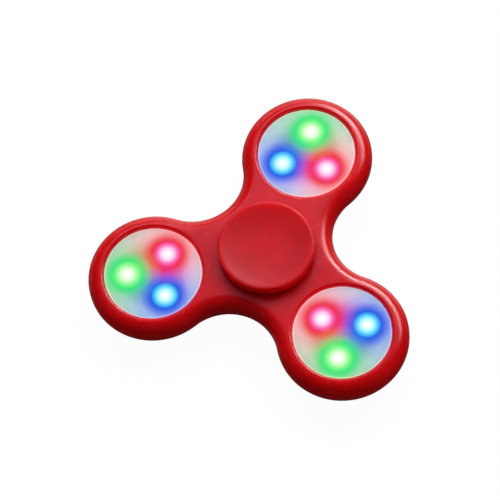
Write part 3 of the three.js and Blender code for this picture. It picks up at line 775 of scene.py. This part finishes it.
def lens_look(lobe):
    """Milky plastic lit from behind by three LEDs: their light is painted into its face as glow, and its
    middle has painted shade.
    """
    look = Look(f"lens_plastic_{lobe}", LENS_COLOUR, 0.45, specular=0.12)
    nudge = Vector(PARALLAX)
    nudge.rotate(Matrix.Rotation(-MODULE_TURNS[lobe - 1], 2))
    # Painted shade, darker towards the middle, times a random tone
    centre_shade_and_tone = look.spread(look.distance(), LENS_SHADE_START, LENS_SHADE_END, 0.0, 1.0, smooth=True)
    centre_shade_and_tone = look.math("MULTIPLY", centre_shade_and_tone, look.spread(look.noise(3.0, 3), 0.3, 0.7, 0.94, 1.0))
    clear = 1.0
    glow = BLACK
    spill_glow = BLACK
    for step, (name, colours) in enumerate(GLOWS.items()):
        turn = TURN * step / 3
        spot_x = LED_RING_RADIUS * math.cos(turn) + nudge.x
        spot_y = LED_RING_RADIUS * math.sin(turn) + nudge.y
        away = look.distance(spot_x, spot_y)
        ramp = look.nodes.new("ShaderNodeValToRGB")
        marks = ramp.color_ramp.elements
        while len(marks) < len(GLOW_STOPS):
            marks.new(0.5)
        for mark, (part, radius, cover) in zip(marks, GLOW_STOPS):
            mark.position = radius / GLOW_REACH
            mark.color = (*colours.get(part, HEART), cover)
        look.links.new(look.math("DIVIDE", away, GLOW_REACH), ramp.inputs["Fac"])
        halo = look.mix(ramp.outputs["Alpha"], BLACK, ramp.outputs["Color"])
        glow = look.mix(1.0, glow, halo, "ADD")
        share = look.spread(away, SPILL_GLOW_START, SPILL_GLOW_REACH, 1, 0, smooth=True)
        spill_glow = look.mix(1.0, spill_glow, look.mix(share, BLACK, SPILL_GLOWS[name]), "ADD")
        clear = look.math("MULTIPLY", look.math("SUBTRACT", 1.0, ramp.outputs["Alpha"]), clear)
    # Base colour: the lens's own colour under the painted shade, hidden where the painted glows cover it
    look.paint("Base Color", look.mix(look.math("MULTIPLY", clear, centre_shade_and_tone), BLACK, LENS_COLOUR))
    # Painted light: the LEDs' glows and their spill, as emission
    light = look.mix(1.0, glow, look.mix(clear, BLACK, spill_glow), "ADD")
    edge_start = LENS_RADIUS - EDGE_GLOW_START
    edge_full = LENS_RADIUS - EDGE_GLOW_FULL
    # Painted light in a bright rim at the lens's edge
    edge = look.spread(look.distance(), edge_start, edge_full, 0, 1, smooth=True)
    look.paint("Emission Color", look.mix(edge, light, EDGE_GLOW, "ADD"))
    look.paint("Emission Strength", 1)
    look.paint("Roughness", look.spread(look.noise(1.2, 4), 0.3, 0.7, 0.4, 0.5))
    look.bump(look.noise(0.35, 2), 0.001)
    return look


def led_look(colour, shade):
    """Lit resin, paler in small patches."""
    look = moulded(f"led_{colour}", shade, 0.2, grain=0.2, relief=0.001, patch=1.5)
    look.paint("Emission Color", look.mix(look.spread(look.noise(0.8, 2), 0.3, 0.7), shade, WHITE))
    look.paint("Emission Strength", 1.2)
    return look


# ---------------------------------------------------------------- CAD nodes that keep their shape


def relook(node, look):
    """Gives a CAD node, which keeps its shape, a new material."""
    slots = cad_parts[node].data.materials
    slots.clear()
    slots.append(look.material)


# ---------------------------------------------------------------- build

scene = bpy.context.scene
scene.view_settings.view_transform = "Standard"

camera = bpy.data.objects.new("camera", bpy.data.cameras.new("camera"))
camera.data.lens = FOCAL_LENGTH
camera.data.sensor_width = SENSOR_WIDTH
aim = Matrix.Rotation(VIEW_AZIMUTH, 4, "Z") @ Matrix.Rotation(TURN / 4 - VIEW_ELEVATION, 4, "X")
stand = Matrix.Translation(Vector((VIEW_ASIDE, VIEW_ABOVE, VIEW_DISTANCE)) * MM)
camera.matrix_world = (
    Matrix.Translation(UPRIGHT * LENS_TOP * MM) @ aim @ Matrix.Rotation(VIEW_ROLL, 4, "Z") @ stand
)
scene.collection.objects.link(camera)
scene.camera = camera

red = body_look()
stands_for(body_piece(), "rotor", "frame_red", red, "frame")

cap_red = cap_look()
top = cap_piece("finger_cap_top")
stands_for(top, "hub", "cap_red", cap_red, "top_cap")
bottom = cap_piece("finger_cap_bottom")
bottom.matrix_world = Matrix.Rotation(TURN / 2, 4, "X")
stands_for(bottom, "hub", "cap_red", cap_red, "bottom_cap")

white = moulded("housing_plastic", linear(226, 226, 222), 0.38, grain=0.4, relief=0.003)
button_white = moulded("button_plastic", linear(214, 214, 212), 0.3, grain=0.3, relief=0.002)
for lobe in LOBES:
    stands_for(lens_piece(lobe), "rotor", "lens_milky", lens_look(lobe), f"lens_{lobe}")
    stands_for(housing_piece(lobe), "rotor", "housing_white", white, f"light_housing_{lobe}")
    stands_for(button_piece(lobe), f"button_{lobe}", "button_white", button_white, f"push_button_{lobe}")

steel = metal("bearing_steel", (0.62, 0.62, 0.63), 0.22)
stands_for(outer_race_piece(), "rotor", "bearing_steel", steel, "bearing_outer_race")
stands_for(inner_race_piece(), "hub", "bearing_steel", steel, "bearing_inner_race")
for ball in BALLS:
    stands_for(ball_piece(ball), f"ball_{ball}", "bearing_steel", steel, f"bearing_ball_{ball}")
shield_steel = metal("shield_steel", (0.55, 0.55, 0.56), 0.32)
stands_for(shield_piece("shield_top"), "rotor", "shield_steel", shield_steel, "bearing_shield_top")
rear_shield = shield_piece("shield_bottom")
rear_shield.matrix_world = Matrix.Rotation(TURN / 2, 4, "X")
stands_for(rear_shield, "rotor", "shield_steel", shield_steel, "bearing_shield_bottom")

nickel = metal("cell_steel", (0.6, 0.6, 0.6), 0.3)
resin = moulded("chip_black", linear(22, 22, 24), 0.4, grain=0.2, relief=0.003)
lamp_looks = [led_look(colour, shade) for colour, shade in LED_SHADES.items()]
for lobe in LOBES:
    stands_for(resin_piece(lobe), "rotor", "chip_black", resin, f"controller_{lobe}")
    for letter in "abc":
        node = f"button_cell_{lobe}{letter}"
        stands_for(cell_piece(node, letter != "b"), "rotor", "cell_steel", nickel, node)
    for step, (colour, look) in enumerate(zip(LED_SHADES, lamp_looks)):
        stands_for(led_piece(colour, step, lobe), "rotor", f"led_{colour}", look, f"led_{colour}_{lobe}")

brass = metal("cage_brass", (0.72, 0.5, 0.22), 0.35)
strip_brass = metal("contact_brass", (0.75, 0.55, 0.27), 0.3)
board = moulded("board_green", linear(24, 92, 52), 0.35, grain=0.25, relief=0.002)
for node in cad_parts:
    for start, look in (("bearing_cage", brass), ("circuit_board", board), ("switch_body", resin),
                        ("switch_plunger", button_white), ("contact", strip_brass)):
        if node.startswith(start):
            relook(node, look)

# ---------------------------------------------------------------- floor and light

FLOOR_LEVEL = low_high("bottom_cap")[0].z
FLOOR_RADIUS = 2500
FLOOR_MIDDLE_RADIUS = 200
FLOOR_BEND = 900
FLOOR_STEPS = 96
WALL_HEIGHT = 2500
FLOOR_DARK = (0.05, 0.05, 0.05)
FLOOR_PALE = (0.06, 0.06, 0.06)
SOFTBOX_DISTANCE = 800
SURROUND = 0.03               # strength of the world all round
SHEEN_TINT = (1, 0.95, 1.3)
HIGH_TINT = (1, 0.9, 1.3)
FAR_SIDE = Vector((-math.sin(VIEW_AZIMUTH), math.cos(VIEW_AZIMUTH), 0))


def direction(azimuth, elevation):
    """A direction from the object. Azimuth 0 is beyond it for the camera, and runs clockwise from above."""
    turn = VIEW_AZIMUTH - math.radians(azimuth)
    rise = math.radians(elevation)
    level = math.cos(rise)
    return Vector((-math.sin(turn) * level, math.cos(turn) * level, math.sin(rise)))


def studio_floor():
    """Pale floor that curves up into a wall. It shows itself to the camera alone, and so lights nothing."""
    wall_top = FLOOR_LEVEL + WALL_HEIGHT
    corners = [(FLOOR_MIDDLE_RADIUS, FLOOR_LEVEL), (FLOOR_RADIUS, FLOOR_LEVEL, FLOOR_BEND),
               (FLOOR_RADIUS, wall_top)]
    surface = Surface()
    rings = [surface.ring(circle((0, 0), r, z, FLOOR_STEPS)) for r, z in rounded(corners, 12)]
    surface.strips(rings)
    surface.fan(rings[0], (0, 0, FLOOR_LEVEL))
    look = Look("studio_floor", FLOOR_DARK, 0.9, specular=0.0)
    look.paint("Base Color", look.mix(look.noise(60, 2), FLOOR_DARK, FLOOR_PALE))
    look.paint("Emission Color", WHITE)
    look.paint("Emission Strength", 0.97)
    piece = surface.piece("studio_floor")
    piece.data.materials.append(look.material)
    piece.visible_diffuse = False
    piece.visible_glossy = False
    piece.visible_transmission = False
    piece.visible_shadow = False
    return piece


def softbox(name, azimuth, elevation, size, brightness, colour=(1, 1, 1), lights=True, mirrored=True):
    """Soft light that lights the object, is mirrored in its gloss, or both."""
    light = bpy.data.lights.new(name, "AREA")
    light.shape = "RECTANGLE"
    light.size = size[0] * MM
    light.size_y = size[1] * MM
    light.energy = brightness * math.pi * light.size * light.size_y
    light.color = colour
    lamp = bpy.data.objects.new(name, light)
    towards = direction(azimuth, elevation)
    facing = towards.to_track_quat("Z", "Y").to_matrix().to_4x4()
    lamp.matrix_world = Matrix.Translation(towards * SOFTBOX_DISTANCE * MM) @ facing
    lamp.visible_camera = False
    lamp.visible_diffuse = lights
    lamp.visible_transmission = lights
    lamp.visible_glossy = mirrored
    scene.collection.objects.link(lamp)


def studio_world():
    """Weak surround: pale low down on the far side, dark on the near side."""
    world = bpy.data.worlds.new("studio")
    world.use_nodes = True
    nodes = world.node_tree.nodes
    links = world.node_tree.links
    towards = nodes.new("ShaderNodeTexCoord").outputs["Generated"]

    def along(axis, low, high, to_low, to_high):
        """Smooth step on how far a direction points along an axis."""
        dot = nodes.new("ShaderNodeVectorMath")
        dot.operation = "DOT_PRODUCT"
        links.new(towards, dot.inputs[0])
        dot.inputs[1].default_value = axis
        step = nodes.new("ShaderNodeMapRange")
        step.interpolation_type = "SMOOTHSTEP"
        links.new(dot.outputs["Value"], step.inputs["Value"])
        set_range(step, low, high, to_low, to_high)
        return step.outputs["Result"]

    def arithmetic(kind, a, b):
        """A Math node on two numbers, each a number or a socket."""
        node = nodes.new("ShaderNodeMath")
        node.operation = kind
        for value, socket in ((a, node.inputs[0]), (b, node.inputs[1])):
            if hasattr(value, "is_output"):
                links.new(value, socket)
            else:
                socket.default_value = value
        return node.outputs["Value"]

    low_down = along(UPRIGHT, low=0.0, high=0.16, to_low=1, to_high=0)
    far_side = along(FAR_SIDE, low=0, high=0.5, to_low=0, to_high=0.12)
    farthest = along(FAR_SIDE, low=0.5, high=1, to_low=0, to_high=0.2)
    to_right = along(direction(24, -15), low=0.8, high=0.98, to_low=0, to_high=0.7)
    pale = arithmetic("ADD", arithmetic("ADD", far_side, farthest), to_right)
    strength = arithmetic("ADD", arithmetic("MULTIPLY", low_down, pale), SURROUND)
    links.new(strength, nodes["Background"].inputs["Strength"])
    nodes["Background"].inputs["Color"].default_value = (1, 1, 1, 1)
    world.cycles_visibility.diffuse = False
    scene.world = world


studio_floor()
softbox("key", azimuth=23, elevation=45, size=(1200, 450), brightness=4.7, mirrored=False)
softbox("shine", azimuth=30, elevation=38, size=(330, 250), brightness=15.5, lights=False)
softbox("shine_right", azimuth=60, elevation=38, size=(330, 250), brightness=7.7, lights=False)
softbox("shine_far", azimuth=0, elevation=15, size=(700, 250), brightness=1.3, lights=False)
softbox("sheen", azimuth=5, elevation=53, size=(450, 250), brightness=1.3, colour=SHEEN_TINT, lights=False)
softbox("overhead", azimuth=0, elevation=70, size=(900, 480), brightness=0.25, colour=HIGH_TINT, lights=False)
softbox("fill_right", azimuth=135, elevation=15, size=(600, 450), brightness=1.6, mirrored=False)
softbox("fill_left", azimuth=270, elevation=15, size=(600, 450), brightness=1.6, mirrored=False)
softbox("floor_bounce", azimuth=0, elevation=-75, size=(1200, 1200), brightness=0.3, mirrored=False)
studio_world()
